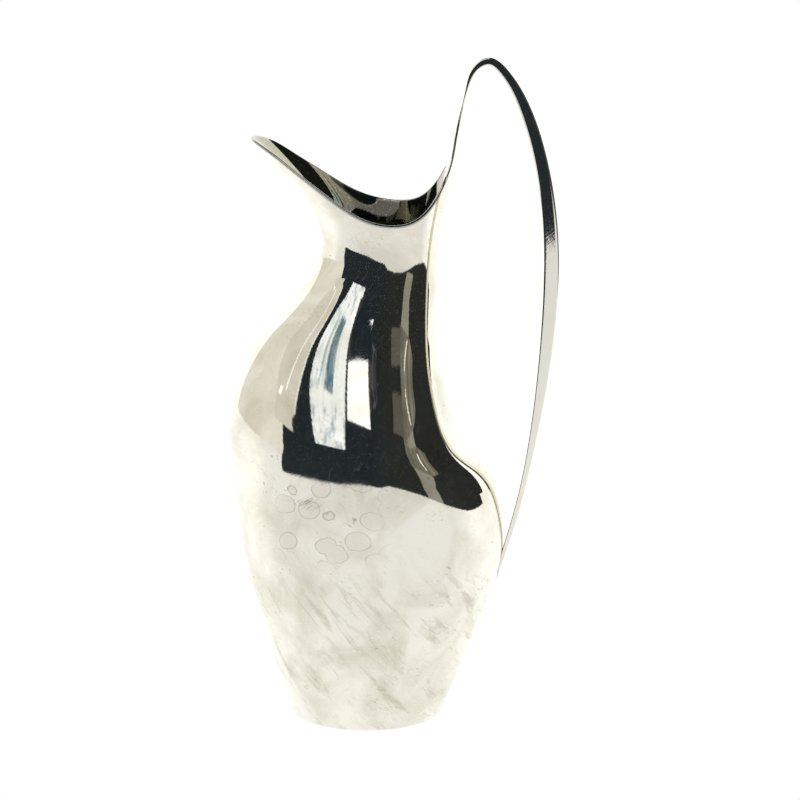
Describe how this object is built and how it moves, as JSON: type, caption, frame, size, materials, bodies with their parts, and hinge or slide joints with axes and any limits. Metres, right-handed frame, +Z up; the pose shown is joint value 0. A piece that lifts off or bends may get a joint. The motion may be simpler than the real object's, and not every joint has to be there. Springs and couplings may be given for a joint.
{
  "type": "water pitcher",
  "caption": "Tall silver water pitcher with a leaning belly, narrow neck, swept spout and a thin handle that loops high over the mouth and tapers to the bowl.",
  "frame": {"origin": "centre of the underside of the base, where it rests on the table", "axes": "+Z up through the neck; the spout points to -X and the handle to +X; the plane y = 0 is the plane of symmetry"},
  "size_m": [0.1403, 0.1042, 0.2867],
  "materials": {
    "body_silver": "polished sterling silver with fine scratches, water spots and a light warm tarnish",
    "handle_silver": "brightly polished forged silver"
  },
  "bodies": {
    "root": {"base_pan": "body_silver", "lower_body": "body_silver", "upper_body": "body_silver", "lip_wire": "body_silver", "handle_strap": "handle_silver", "handle_grip": "handle_silver"}
  },
  "joints": []
}
